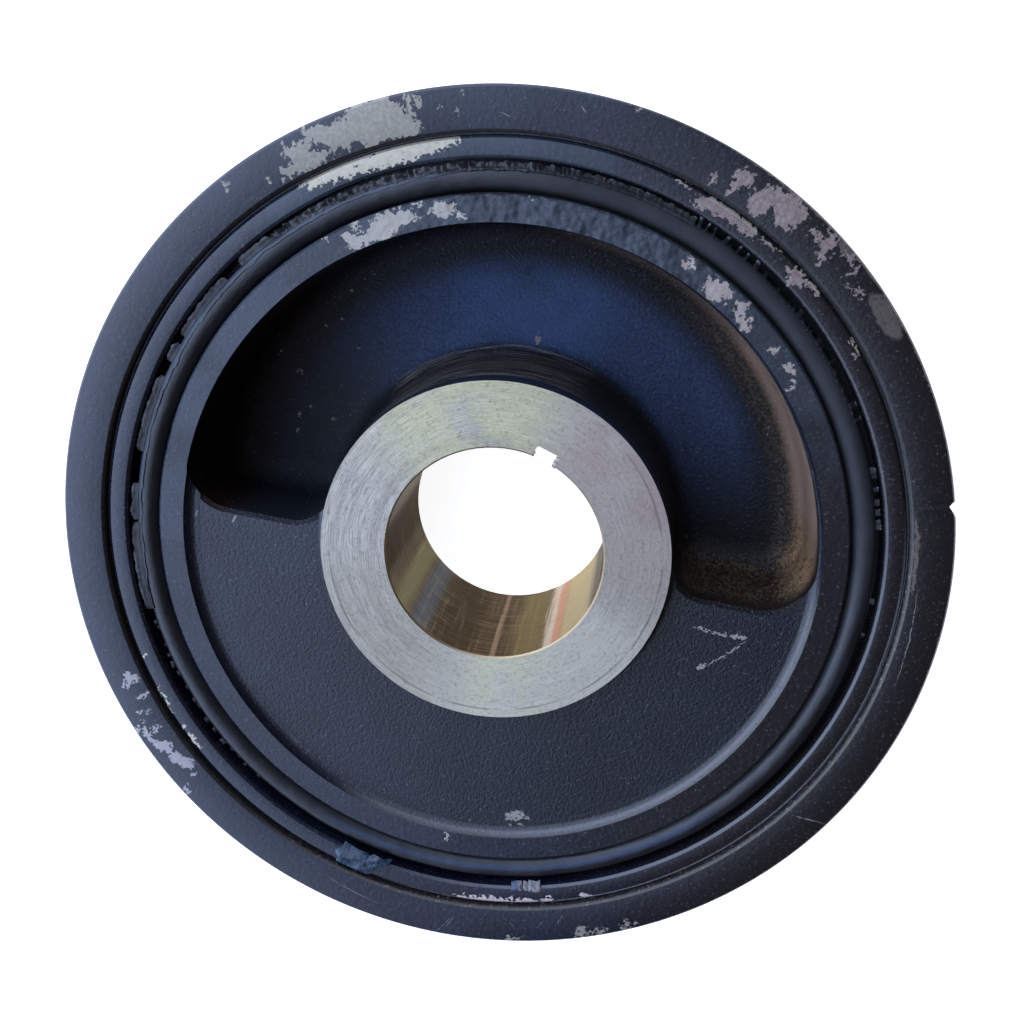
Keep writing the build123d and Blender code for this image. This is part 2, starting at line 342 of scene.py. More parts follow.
def turned_paint(
        name, chips=(), at_radius=80.0, islands=(), ragged=5.0, cream=None, scratches=(),
        dust=(), pale_stretch=None, bared=("8f8878", "86706a"), lumps=0.0, edge_highlights=()):
    """Paint over a turned face, flaked where the chips say, with islands of paint left in
    them. The pale stretch runs from one angle to another; bared is the metal's two
    tints; an edge highlight is its radius, its reach and its tint, painted along the lower right."""
    finish, shader, spot, angle, radius, height = start_finish(name)
    cloud = grain(spot, CLOUD, 2.0)
    fleck = grain(spot, FLECK, 1.0)
    peel = grain(spot, 1.0, 2.0, 0.6)
    paint = cloud.rise(0.35, 0.7).over(chart("0f1220"), chart("181c2b"))
    # painted light: over the right, away from the blue window, the paint takes a neutral, warmer
    # tone
    paint = angle.span(-50.0, 45.0, 40.0).over(paint, chart("1a1718"))
    if pale_stretch:
        first, last, depth = pale_stretch
        pale = angle.span(first, last, 28.0) * cloud.rise(0.2, 0.6) * depth
        paint = pale.over(paint, chart("404a52"))
    paint = (fleck.rise(0.64, 0.76) * 0.45).over(paint, chart("66686e"))
    # painted highlight along each listed edge over the lower right, broken by the peel grain
    for edge, reach, tint in edge_highlights:
        line = abs(radius - edge).rise(reach, reach * 0.4) * angle.span(-88.0, -14.0, 25.0)
        paint = (line * peel.rise(0.1, 0.5) * 0.85).over(paint, chart(tint))
    rough = peel * 0.1 + 0.22
    metallic = 0.0
    worn_plan = plan(angle, radius, at_radius) if chips else None
    if dust:
        settled = flaked(worn_plan, dust, 2.0).rise(1.15, 0.85)
        paint = (settled * peel.rise(0.1, 0.5) * 0.8).over(paint, chart("645a51"))
    if chips:
        near = flaked(worn_plan, chips, ragged, 1.1)
        bare = near.rise(1.03, 0.97)
        lip = near.rise(1.2, 1.0) * 0.3
        if islands:
            bare = bare * flaked(worn_plan, islands, 3.0, 0.9).rise(0.96, 1.04)
        mottle = grain(spot, 0.8, 3.0, 0.75)
        metal = abs(angle - 45.0).rise(32.0, 20.0).over(chart(bared[0]), chart(bared[1]))
        metal = angle.span(-166.0, -132.0, 6.0).over(metal, chart("a09a9c"))
        metal = (mottle.rise(0.4, 0.65) * 0.45).over(metal, chart("b3aa98"))
        if cream is not None:
            bright = angle.span(-115.0, -60.0, 10.0).over(chart("cec4a8"), chart("e2cfc6"))
            metal = (cream(angle, radius) * mottle.rise(0.1, 0.55)).over(metal, bright)
        paint = lip.over(paint, chart("0c0c0f"))
        paint = bare.over(paint, metal)
        rough = rough + bare * 0.18
        metallic = bare * 0.3
    if scratches:
        line = flaked(worn_plan, scratches, 0.8).rise(1.3, 0.7)
        paint = (line * peel.rise(0.3, 0.5) * 0.7).over(paint, chart("8f8a84"))
    swell = peel * 0.06
    if lumps:
        swell = swell + grain(spot, 2.6, 1.0) * angle.span(55.0, 100.0, 20.0) * lumps
    connect(
        shader, Base_Color=paint, Roughness=rough, Metallic=metallic, Specular_IOR_Level=0.7,
        Normal=relief(swell))
    return finish


# turned boss face: fine rings with a slow drift of tint from cutting oil, stretches warmer over the
# right and darker over the lower left, and a painted reflection lighter over the lower right
boss_steel, shader, spot, angle, radius, height = start_finish("boss_steel")
rings = grain(place(radius, angle * 0.014), 0.14, 4.0, 0.8)
broad = grain(place(radius, angle * 0.01), 2.0, 2.0)
scuff = grain(spot, 0.7, 4.0, 0.75)
drift = grain(spot, 9.0, 2.0)
steel = rings.rise(0.25, 0.75).over(chart("807a6c"), chart("e8e0cd"))
steel = (broad.rise(0.4, 0.62) * 0.4).over(steel, chart("918a7d"))
steel = (angle.span(80.0, 115.0, 35.0) * 0.55 * drift.rise(0.2, 0.5)).over(steel, chart("dcd49c"))
# painted reflection: the face is lighter over the lower right
steel = (angle.span(-105.0, -40.0, 30.0) * 0.65).over(steel, chart("e4dcc6"))
steel = (angle.span(-95.0, -70.0, 14.0) * drift.rise(0.3, 0.6) * 0.5).over(steel, chart("d8d6a6"))
steel = (angle.span(-8.0, 55.0, 25.0) * 0.65).over(steel, chart("bcae9e"))
steel = (angle.span(16.0, 48.0, 14.0) * drift.rise(0.4, 0.6) * 0.3).over(steel, chart("b08a84"))
steel = (angle.span(-165.0, -112.0, 20.0) * 0.35).over(steel, chart("a0947e"))
steel = (scuff.rise(0.5, 0.7) * 0.45).over(steel, chart("6e685e"))
steel = (rings.rise(0.58, 0.3) * 0.2).over(steel, chart("5f5a50"))
lapped = abs(radius - 33.7).rise(0.3, 0.1) * drift.rise(0.3, 0.5) * angle.rise(60.0, 20.0)
steel = (lapped * 0.5).over(steel, chart("5c564c"))
connect(
    shader, Base_Color=steel, Metallic=0.85, Roughness=scuff * 0.2 + 0.36,
    Normal=relief(rings * 0.018 + scuff * 0.02))

# bored wall: painted reflections and shade laid as streaks along the bore, each from one angle to
# another, the width it fades over, and its tint
BORE_SHEEN_AND_SHADE = (
    (-180.0, -172.0, 10.0, "36302c"), (168.0, 190.0, 6.0, "36302c"),
    (-153.0, -149.0, 9.0, "78755a"), (-138.0, -134.0, 7.0, "505b68"),
    (-122.0, -104.0, 9.0, "3e342c"), (-100.0, -90.0, 7.0, "53463a"),
    (-76.0, -68.0, 13.0, "80714f"), (-50.0, -34.0, 10.0, "d8c79a"),
    (-61.0, -59.0, 5.0, "ecdccb"), (-56.0, -55.0, 4.0, "e6ac8c"),
    (-14.0, 0.0, 6.0, "463e36"), (-92.5, -91.5, 1.8, "9a806c"),
)
PIT_ANGLE, PIT_HEIGHT, PIT_SIZE = -105.4, 15.5, 0.4
bored_steel, shader, spot, angle, radius, height = start_finish("bored_steel")
streak = grain(place(angle * 0.38, height * 0.03), 0.9, 4.0, 0.7)
feed = grain(place(height, angle * 0.008), 0.3, 4.0, 0.8)
bored = streak.rise(0.3, 0.7).over(chart("3e3732"), chart("50463a"))
wander = angle + (streak - 0.5) * 9
for first, last, ease, tint in BORE_SHEEN_AND_SHADE:
    bored = wander.span(first, last, ease).over(bored, chart(tint))
# painted sheen: brighter streaks over the lower half of the bore
streak_sheen = streak.rise(0.5, 0.7) * angle.span(-160.0, -30.0, 10.0)
bored = (streak_sheen * 0.18).over(bored, chart("c4b594"))
bored = (feed.rise(0.5, 0.36) * 0.5).over(bored, chart("211a14"))
bored = (feed.rise(0.5, 0.68) * 0.35).over(bored, chart("c8b898"))
from_pit = place((angle - PIT_ANGLE) * 0.38, height - PIT_HEIGHT)
from_pit = from_pit.vector("LENGTH", from_pit, out="Value")
bored = from_pit.rise(PIT_SIZE, PIT_SIZE * 0.6).over(bored, chart("0c0908"))
bored = height.rise(BOSS_FACE - 0.4, BOSS_FACE - 0.25).over(bored, chart("bda27c"))
stained = abs(angle).rise(163.0, 172.0) + angle.span(-14.0, 20.0, 6.0)
connect(
    shader, Base_Color=bored, Metallic=0.9, Specular_Tint=(0.5, 0.45, 0.4, 1.0),
    Roughness=feed * 0.25 + stained * 0.16 + 0.22,
    Normal=relief(feed * 0.03))


def hub_face(radius, height):
    """The finish of a face of the hub whose middle is at this radius and height."""
    if height > BOSS_FACE - FACE_SLACK or height < FACE_SLACK:
        return "steel"
    if radius < BORE_REACH:
        return "bore"
    if radius > RIM_INNER_R and height > RIM_FACE - 0.5:
        return "rim"
    in_pocket = BOSS_R - 3.0 < radius < RIM_INNER_R + 0.5
    return "pocket" if in_pocket and POCKET_FLOOR - 0.5 < height < WEB_FACE - 0.2 else "cast"


dress(hub, {
    "cast": cast_paint("cast_paint", False),
    "pocket": cast_paint("pocket_paint", True),
    "rim": turned_paint(
        "rim_paint", RIM_CHIPS, 68.0, pale_stretch=(30.0, 165.0, 0.45), bared=("a8a092", "a8988e"),
        lumps=0.35),
    "steel": boss_steel,
    "bore": bored_steel,
}, hub_face)

# ---------------------------------------------------------------------------
# The rubber ring: moulded black rubber bonded between the hub and the iron ring,
# with a round bead that stands up on the hub side and a dark gap outside it.
# ---------------------------------------------------------------------------
RUBBER_IN_R, RUBBER_OUT_R = 70.3, 76.8
RUBBER_BACK, RUBBER_DIP = 8.0, 1.2
BEAD_ROOT = 32.6
BEAD_CROWN_R, BEAD_CROWN = 73.3, 35.0
BEAD_SIDE, BEAD_TOP, BEAD_SHOULDER = 2.9, 2.6, 1.3      # its three radii, rim side to gap
BEAD_TOP_TURN = 28.0
GAP_FLOOR, GAP_FILLET = 27.6, 0.6
FULL_TURN, BEAD_TURN = 720, 480         # steps of a full turn, and of the bead's
SHARP_CORNER = math.radians(155)        # an outline's corners under this are eased


def lathe_mesh(outline, steps=FULL_TURN, edge=0.0):
    """A ring turned from a closed (radius, height) outline in millimetres, counted
    anticlockwise, with its sharp circular edges eased."""
    work = bmesh.new()
    corners = [work.verts.new((r / 1000, 0.0, z / 1000)) for r, z in outline]
    for near, far in zip(corners, corners[1:] + corners[:1]):
        work.edges.new((near, far))
    if edge:
        arms = [[e.other_vert(v).co - v.co for e in v.link_edges] for v in corners]
        sharp = [v for v, (arm, other) in zip(corners, arms) if arm.angle(other) < SHARP_CORNER]
        bmesh.ops.bevel(
            work, geom=sharp, offset=edge / 1000, segments=2, profile=0.5,
            affect="VERTICES", material=-1)
    bmesh.ops.spin(
        work, geom=work.verts[:] + work.edges[:], cent=(0, 0, 0), axis=(0, 0, 1),
        angle=math.tau, steps=steps, use_merge=True)
    bmesh.ops.remove_doubles(work, verts=work.verts[:], dist=1e-7)
    bmesh.ops.recalc_face_normals(work, faces=work.faces[:])
    return work


def stand(name, work, finish, smooth=35.0):
    """Makes the worked mesh a piece of the part, shaded smooth up to an edge angle."""
    mesh = bpy.data.meshes.new(name)
    work.to_mesh(mesh)
    work.free()
    mesh.materials.append(finish)
    for face in mesh.polygons:
        face.use_smooth = True
    mesh.set_sharp_from_angle(angle=math.radians(smooth))
    piece = bpy.data.objects.new(name, mesh)
    bpy.context.scene.collection.objects.link(piece)
    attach(piece, "root")
    return piece


def arc(centre, radius, start, end, steps):
    """Points along an arc of an outline, its angles in degrees from straight up."""
    turns = [math.radians(start + (end - start) * k / steps) for k in range(steps + 1)]
    return [(centre[0] + radius * math.sin(t), centre[1] + radius * math.cos(t)) for t in turns]


def moulded_rubber(name, dark, light, shine=0.26, relief_depth=0.06, drawn=1.0, tips=None):
    """Rubber whose skin is drawn out round the part; tips is a paler colour for torn ends, bright
    partly as painted highlight.
    """
    finish, shader, spot, angle, radius, height = start_finish(name)
    along = place(angle * (0.42 / drawn), radius * math.sqrt(drawn), height)
    skin = grain(along, 0.6, 3.0, 0.6)
    cloud = grain(spot, 8.0, 2.0)
    rubber = cloud.rise(0.35, 0.7).over(chart(dark), chart(light))
    rubber = (skin.rise(0.62, 0.8) * 0.3).over(rubber, chart("4b4c50"))
    if tips:
        # torn ends at the gap's outer side are paler, brightened as painted highlight
        rubber = (radius.rise(75.9, 76.4) * skin.rise(0.35, 0.6)).over(rubber, chart(tips))
    # overspray with a painted sky highlight on the bead: blue along its crown at the foot of the
    # part, and dull past its wavy edge
    blue_paint_and_sheen = abs(radius - 72.7).rise(0.9, 0.2) * angle.span(-112.0, -60.0, 14.0)
    rubber = (blue_paint_and_sheen * skin.rise(0.2, 0.5) * 0.7).over(rubber, chart("213654"))
    dull = (radius + skin * 1.6).rise(72.6, 72.0) * angle.span(-62.0, -8.0, 8.0)
    dull = angle.span(8.0, 72.0, 22.0) + dull
    connect(
        shader, Base_Color=rubber, Roughness=skin * 0.25 + dull * 0.3 + shine,
        Specular_IOR_Level=0.62, Normal=relief(skin * relief_depth))
    return finish


side_centre = (BEAD_CROWN_R, BEAD_CROWN - BEAD_SIDE)
top_centre = (BEAD_CROWN_R, BEAD_CROWN - BEAD_TOP)
top_turn = math.radians(BEAD_TOP_TURN)
shoulder_centre = (
    top_centre[0] + (BEAD_TOP - BEAD_SHOULDER) * math.sin(top_turn),
    top_centre[1] + (BEAD_TOP - BEAD_SHOULDER) * math.cos(top_turn))
bead_flank_r = shoulder_centre[0] + BEAD_SHOULDER
root_turn = -math.degrees(math.acos((BEAD_ROOT - side_centre[1]) / BEAD_SIDE))
rubber_outline = (
    [(RUBBER_IN_R, BEAD_ROOT)]
    + [(RUBBER_IN_R + (RUBBER_OUT_R - RUBBER_IN_R) * k / 8,
        RUBBER_BACK + RUBBER_DIP * (1 - (k / 4 - 1) ** 2)) for k in range(9)]
    + [(RUBBER_OUT_R, GAP_FLOOR), (bead_flank_r + GAP_FILLET, GAP_FLOOR)]
    + arc((bead_flank_r + GAP_FILLET, GAP_FLOOR + GAP_FILLET), GAP_FILLET, 180, 270, 4)[1:]
    + arc(shoulder_centre, BEAD_SHOULDER, 90, BEAD_TOP_TURN, 6)
    + arc(top_centre, BEAD_TOP, BEAD_TOP_TURN, 0, 6)[1:]
    + arc(side_centre, BEAD_SIDE, 0, root_turn, 10)[1:])
rubber_work = lathe_mesh(rubber_outline, BEAD_TURN)
for vert in rubber_work.verts:
    # the bead was never trued up: it swells and sinks a little round its length
    rise = max(0.0, (vert.co.z * 1000 - BEAD_ROOT) / (BEAD_CROWN - BEAD_ROOT))
    swell = cloud_noise.noise(vert.co * 120) * 0.16 + cloud_noise.noise(vert.co * 420) * 0.05
    vert.co.z += (swell - 0.1) * rise / 1000
    if vert.co.z * 1000 > GAP_FLOOR + 1 and math.hypot(vert.co.x, vert.co.y) * 1000 > BEAD_CROWN_R:
        vert.co.xy *= 1 + swell * 0.0025
rubber_finish = moulded_rubber("rubber", "121214", "1a1c20")
rubber_ring = stand("rubber_bead_ring", rubber_work, rubber_finish)
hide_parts("rubber_ring")

# ---------------------------------------------------------------------------
# Mould flash: the thin skin of rubber that bridged the gap, torn when the ring was
# faced. It is left as ribs across the gap, as loose skin, and as a film on the bead.
# ---------------------------------------------------------------------------
RIB_START, CURL_START, CURL_END = 22.0, 60.0, 125.0     # ribs first, then pleats
SKIN_START, SKIN_END = 125.0, 192.0
SKIN_BREAKS = ((131.4, 134.6), (145.8, 147.2), (150.4, 153.0), (165.7, 171.0), (177.0, 177.4))
FILM_START, FILM_END = 84.0, 192.0
CRUMB_START, CRUMB_STEP, CRUMB_COUNT = 192.0, 2.1, 17
LONE_CRUMBS = (-12.0, -6.5, 5.2, 6.0, 7.5, 9.0, 11.0, 13.0, 14.0)
RIB_THICK, PLEAT_THICK, SKIN_THICK, FILM_THICK, CRUMB_THICK = 0.25, 0.2, 0.14, 0.08, 0.4
FLANK_R = 75.2              # past here flash no longer lies on the bead
GAP_START_R = 74.9          # and from here it hangs over the gap
shake = random.Random(11)


def bead_top(radius):
    """Height of the bead's surface at a radius, crown to flank."""
    if radius < top_centre[0] + BEAD_TOP * math.sin(top_turn):
        return top_centre[1] + math.sqrt(BEAD_TOP ** 2 - (radius - top_centre[0]) ** 2)
    past = radius - shoulder_centre[0]
    return shoulder_centre[1] + math.sqrt(max(0.0, BEAD_SHOULDER ** 2 - past ** 2))


def around(angle, radius, height):
    """A place by its layout angle in degrees, its radius and its height, in metres."""
    turn = math.radians(angle + LAYOUT_TURN)
    return Vector((radius * math.cos(turn), radius * math.sin(turn), height)) / 1000


def waver(size, *where):
    """A smooth random swing of about this size; nearby places get nearly the same."""
    return cloud_noise.noise(where) * size


def lay_sheet(work, across, outward, lie):
    """Adds a thin sheet to the work: a grid whose corners (u, v) in 0..1 go where lie says."""
    grid = bmesh.ops.create_grid(work, x_segments=across, y_segments=outward, size=0.5)
    for vert in grid["verts"]:
        vert.co = lie(vert.co.x + 0.5, vert.co.y + 0.5)


def thicken(work, thickness):
    """Gives sheets a thickness, downward from their laid face."""
    bmesh.ops.recalc_face_normals(work, faces=work.faces[:])
    bmesh.ops.solidify(work, geom=work.faces[:], thickness=thickness / 1000)
    bmesh.ops.recalc_face_normals(work, faces=work.faces[:])


flash_finish = moulded_rubber("torn_rubber", "151416", "3b3838", 0.36, 0.1, 1.0, "74767e")
ribs = bmesh.new()
at = RIB_START
while at < CURL_START:
    wide = shake.uniform(0.35, 1.0)
    foot = shake.uniform(74.6, 75.0)
    tip = foot + shake.uniform(0.5, 1.2) if shake.random() < 0.6 else shake.uniform(76.1, 76.6)
    stand_up = shake.uniform(-0.9, 0.1)
    lean = shake.uniform(-0.35, 0.35)
    if shake.random() > 0.08:
        def lie(u, v, at=at, wide=wide, foot=foot, tip=tip, stand_up=stand_up, lean=lean):
            radius = foot + (tip - foot) * v
            height = bead_top(min(foot, FLANK_R)) + 0.03 + (32.8 + stand_up - bead_top(foot)) * v
            height += 0.14 * math.cos((u - 0.5) * math.pi)
            taper = 1 - 0.3 * v * v + waver(0.6, at * 3, v * 3, u)
            return around(at + lean * v + (u - 0.5) * wide * taper, radius, height)
        lay_sheet(ribs, 4, 5, lie)
    at += wide + shake.uniform(0.2, 1.3)
thicken(ribs, RIB_THICK)
rib_finish = moulded_rubber("rib_rubber", "0b0b0d", "202023", 0.5, 0.1, 1.0, "c9ccd6")
stand("flash_ribs", ribs, rib_finish, 60.0)

pleats = bmesh.new()


def lie(u, v):
    angle = CURL_START + (CURL_END - CURL_START) * u
    fold = abs(((angle * 0.5 + waver(3.0, angle * 0.35, 0, 2)) % 1.0) - 0.5) * 2
    fold *= 0.7 + waver(0.9, angle * 0.27, 9, 2)
    outer = min(76.7, 76.1 + waver(0.45, angle * 1.4, 5, 0) + (fold - 0.5) * 0.3)
    inner = 74.6 + waver(0.15, angle * 0.8, 7, 1)
    radius = inner + (outer - inner) * v
    grown = min(1.0, max(0.0, (angle - 66) / 18))       # low at first, standing up past the top
    hung = 33.6 + 0.5 * grown - max(0.0, radius - GAP_START_R) * 0.1
    height = max(bead_top(min(radius, FLANK_R)), hung) + 0.04
    height += max(0.0, fold) ** 1.4 * (0.35 + 0.55 * grown) * min(1.0, v * 1.6) - 0.2 * v
    height += waver(0.2, angle * 1.7, v * 3, 8) + waver(0.1, angle * 5.1, v * 4, 3)
    return around(angle + (fold - 0.5) * 0.5 * v, radius, height)


lay_sheet(pleats, 560, 8, lie)
thicken(pleats, PLEAT_THICK)
stand("flash_pleats", pleats, flash_finish, 60.0)

skin = bmesh.new()
edges = [SKIN_START] + [e for gap in SKIN_BREAKS for e in gap] + [SKIN_END]
for start, end in zip(edges[::2], edges[1::2]):
    wave = shake.uniform(0, 50)

    def lie(u, v, start=start, end=end, wave=wave):
        angle = start + (end - start) * u
        ragged = waver(0.35, angle * 0.9, wave, 0) + waver(0.18, angle * 3.1, wave, 3)
        corner = min(u * (end - start), (1 - u) * (end - start), 0.8) / 0.8
        outer = 76.45 + ragged - 0.5 * (1 - corner)
        inner = 74.35 + waver(0.15, angle * 0.8, 7, wave)
        radius = inner + (outer - inner) * v
        ripple = waver(0.16, angle * 1.3, v * 2.0, wave)
        height = bead_top(min(radius, FLANK_R)) + 0.05
        over_gap = max(0.0, radius - GAP_START_R)
        height = max(height, 34.3 - over_gap * 0.12) + ripple * (0.3 + v) + 0.22 * over_gap * v
        return around(angle, radius, min(height, 35.4))
    lay_sheet(skin, max(4, int((end - start) * 5)), 7, lie)
thicken(skin, SKIN_THICK)
stand("flash_skin", skin, flash_finish, 60.0)

film = bmesh.new()


def lie(u, v):
    angle = FILM_START + (FILM_END - FILM_START) * u
    outer = 75.05
    inner = 74.0 + waver(0.4, angle * 0.35, 1, 1) + waver(0.2, angle * 1.3, 2, 1)
    narrow = min(1.0, (angle - FILM_START) / 20, (FILM_END - angle) / 6)
    radius = outer - (outer - inner) * (1 - v) * narrow
    ripple = waver(0.04, angle * 0.9, radius * 2.5, 4)
    return around(angle, radius, bead_top(radius) + 0.06 * v + 0.02 + ripple * v)


lay_sheet(film, 680, 6, lie)
thicken(film, FILM_THICK)
film_finish = moulded_rubber("bead_film", "1d242e", "343e4b", 0.28, 0.12, 6.0)
stand("bead_film", film, film_finish, 60.0)

crumbs = bmesh.new()
crumb_places = [
    (CRUMB_START + k * CRUMB_STEP + shake.uniform(-0.6, 0.6), shake.uniform(75.3, 76.1))
    for k in range(CRUMB_COUNT)]
crumb_places += [(angle, 75.8) for angle in LONE_CRUMBS]
for angle, radius in crumb_places:
    wide, long = shake.uniform(0.5, 1.1), shake.uniform(0.5, 1.0)
    bump_up = shake.uniform(0.1, 0.4)

    def lie(u, v, angle=angle, radius=radius, wide=wide, long=long, bump_up=bump_up):
        swell = math.sin(u * math.pi) * math.sin(v * math.pi)
        rough = waver(0.3, u * 3 + angle, v * 3, 5)
        return around(
            angle + (u - 0.5) * wide * (1 + rough), radius + (v - 0.5) * long * (1.2 + rough),
            33.3 + swell * bump_up + rough * 0.6)
    lay_sheet(crumbs, 5, 5, lie)
thicken(crumbs, CRUMB_THICK)
stand("flash_crumbs", crumbs, flash_finish, 60.0)

# ---------------------------------------------------------------------------
# The burr: a curl of steel the broach left along one corner of the keyway, bright
# where it was rubbed, and a shorter one on the corner opposite.
# ---------------------------------------------------------------------------
KEY_SIDE, KEY_MOUTH, KEY_END = 2.5, 21.85, 24.1     # its side, mouth and floor off the axis
BURR_THICK = 0.12
BURRS = (                                           # side, where it starts and ends, its width
    (1, KEY_MOUTH - 0.2, KEY_END - 0.1, 0.85), (-1, KEY_MOUTH - 0.05, KEY_MOUTH + 1.0, 0.3),
)
burr_steel, shader, spot, angle, radius, height = start_finish("burr_steel")
curl = grain(spot, 0.5, 3.0, 0.7)
connect(
    shader, Base_Color=curl.rise(0.4, 0.65).over(chart("5a4e44"), chart("b8ab98")), Metallic=0.6,
    Roughness=curl * 0.2 + 0.3, Normal=relief(curl * 0.05))
burr = bmesh.new()
for side, first, last, wide in BURRS:
    def lie(u, v, side=side, first=first, last=last, wide=wide):
        bent = waver(0.25, v * 3, side, 1)
        across = KEY_SIDE + 0.08 - (wide + bent * wide) * u
        height = BOSS_FACE - 0.07 - 0.35 * u * u + bent * 0.2 * u
        return Vector((side * across, first + (last - first) * v, height)) / 1000
    lay_sheet(burr, 8, 14, lie)
thicken(burr, BURR_THICK)
stand("key_burr", burr, burr_steel, 50.0)

# ---------------------------------------------------------------------------
# Two smears of blue-grey sealant squeezed out of the gap over the ring's band.
# ---------------------------------------------------------------------------
def sealant(name, dark, light):
    """Set sealant, dragged out round the part, with dust on the newer end."""
    finish, shader, spot, angle, radius, height = start_finish(name)
    streak = grain(place(angle * 2.2, radius * 0.5, height), 1.0, 3.0, 0.6)
    colour = streak.rise(0.35, 0.65).over(chart(dark), chart(light))
    colour = (angle.rise(-86.8, -85.9) * streak.rise(0.3, 0.6)).over(colour, chart("8c867e"))
    connect(shader, Base_Color=colour, Roughness=0.24, Normal=relief(streak * 0.1))
    return finish


SMEAR_THICK, CURL_THICK = 0.25, 0.3
CURLS = ((272.4, 274.2, 35.75), (274.4, 275.3, 35.55), (275.3, 277.2, 35.8))    # ends and height
smear = bmesh.new()


def lie(u, v):
    left = 243.9 - 0.5 * math.sin(v * 3.0) + 0.2 * math.sin(v * 9)
    right = 252.0 - 3.0 * v ** 1.4 + 0.25 * math.sin(v * 7 + 1)
    angle = left + (right - left) * u
    inner = 75.9 + 0.25 * math.sin(u * 5.0) + 0.5 * math.exp(-((u - 0.57) / 0.05) ** 2)
    radius = inner + (80.7 - inner) * v
    # a fold runs in from the outer corner, and a short ridge from the inner side
    crest = math.exp(-((v - 0.75 + 0.9 * u) / 0.16) ** 2)
    ridge = math.exp(-((u - 0.78 + 0.2 * v) / 0.1) ** 2) * (1 - v)
    edge = min(u, 1 - u, 0.12) / 0.12 * min(1 - v, 0.1) / 0.1
    drape = 35.62 if radius > 77.4 else 35.62 - (77.4 - radius) ** 1.5 * 0.4
    rough = waver(0.2, u * 4, v * 3, 9)
    return around(angle, radius, drape + 0.06 + edge * (crest * 0.6 + ridge * 0.45 + 0.18 + rough))


lay_sheet(smear, 40, 26, lie)
thicken(smear, SMEAR_THICK)
stand("sealant_smear", smear, sealant("sealant", "1c2733", "3c4f62"), 60.0)

curls = bmesh.new()
for start, end, crest in CURLS:
    def lie(u, v, start=start, end=end, crest=crest):
        foot = 34.4
        radius = 76.0 + 0.15 * math.sin(u * 4 + start) + 1.6 * v
        swell = math.sin(u * math.pi) ** 0.7
        height = foot + (crest - foot) * min(1.0, v * 1.8) + swell * 0.2
        height += waver(0.2, u * 3, v * 4, start)
        return around(start + (end - start) * u, radius, height)
    lay_sheet(curls, 8, 8, lie)
thicken(curls, CURL_THICK)
stand("sealant_curls", curls, sealant("sealant_pale", "2a3648", "46546a"), 60.0)

# ---------------------------------------------------------------------------
# The iron ring: cast, turned all over and sprayed the same dark blue.
# Knocks from handling have flaked its faces down to the metal.
# ---------------------------------------------------------------------------
RING_R, RING_BORE_R, RING_BACK = 90.0, 76.8, 3.0
FACE, BAND_FACE = 36.6, 35.6
GROOVE_IN_R, GROOVE_OUT_R, GROOVE_FLOOR = 80.95, 81.45, 34.3
RING_EDGE, BAND_EDGE, BACK_EDGE = 0.5, 0.55, 0.6
EASED = 0.12                # the round on its machined edges
NOTCH_ANGLE, NOTCH_DEPTH, NOTCH_SLOPE, NOTCH_STEEP = 8.0, 1.2, 2.3, 0.8
FACE_CHIPS = (
    (38.2, 85.9, 3.2, 0.7, -20), (40.4, 87.3, 0.9, 3.8, 0), (42.1, 88.8, 2.8, 1.4, 0),
    (44.8, 86.8, 2.4, 5.4, -12), (46.8, 86.8, 3.4, 1.0, 0), (43.7, 84.7, 1.1, 2.2, 0),
    (45.4, 89.0, 3.2, 0.8, 0), (52.2, 86.9, 10.0, 4.0, -8), (51.0, 85.2, 5.2, 3.6, 0),
    (54.7, 84.6, 3.8, 5.0, -18), (52.2, 88.6, 5.2, 2.0, 0), (57.8, 86.6, 3.8, 3.2, 0),
    (58.4, 84.4, 1.5, 3.4, 0), (61.0, 83.9, 0.6, 2.4, -12), (106.0, 85.4, 18.5, 7.0, 0),
    (105.6, 88.6, 11.0, 3.0, 0), (99.1, 88.0, 1.0, 2.2, 0), (100.3, 87.8, 1.3, 2.6, 0),
    (112.0, 87.4, 5.0, 4.0, 0), (115.2, 83.7, 9.5, 3.2, 6), (115.0, 86.2, 4.4, 3.6, 0),
    (116.6, 87.4, 1.7, 2.4, 0), (118.1, 83.6, 2.4, 1.8, 0), (113.8, 88.9, 0.9, 2.4, 0),
    (101.0, 83.2, 5.0, 2.6, 0), (94.2, 85.3, 0.5, 1.2, 0), (96.5, 86.0, 0.5, 0.8, 0),
    (93.5, 88.4, 0.9, 0.6, 30), (120.3, 84.0, 1.1, 0.9, 0), (125.4, 87.9, 0.5, 0.8, 0),
    (72.6, 89.4, 0.8, 0.6, 0), (-158.8, 84.8, 2.0, 1.9, 0), (-158.2, 83.6, 1.3, 1.9, 0),
    (-157.8, 85.8, 0.9, 1.6, 0), (-155.7, 84.4, 1.0, 1.8, 0), (-155.4, 83.4, 1.0, 1.0, 0),
    (-153.2, 86.7, 0.7, 1.2, 0), (-152.0, 86.9, 0.6, 1.0, 0), (-150.1, 85.2, 0.8, 2.2, 0),
    (-152.9, 84.0, 0.5, 1.0, 0), (-150.4, 88.3, 3.9, 1.3, -20), (-148.6, 87.4, 2.8, 1.2, -30),
    (-147.0, 86.1, 4.8, 2.5, -32), (-144.5, 85.2, 5.6, 2.7, -10), (-143.4, 83.9, 3.2, 2.8, 0),
    (-141.3, 85.4, 1.3, 2.0, 0), (-140.0, 88.6, 0.9, 1.4, 0), (-87.5, 88.8, 4.0, 0.9, 0),
    (-78.0, 88.2, 3.2, 1.9, 0), (-75.5, 88.8, 4.2, 1.0, 0), (-71.0, 88.5, 2.6, 1.6, 0),
)
FACE_ISLANDS = (
    (107.9, 82.5, 3.2, 2.4, 0), (110.0, 82.6, 2.2, 2.6, 0), (104.2, 82.3, 1.6, 0.8, 0),
    (108.7, 89.0, 1.2, 2.0, 0), (113.1, 85.7, 0.9, 3.2, 0), (100.8, 87.2, 0.6, 3.2, 0),
)
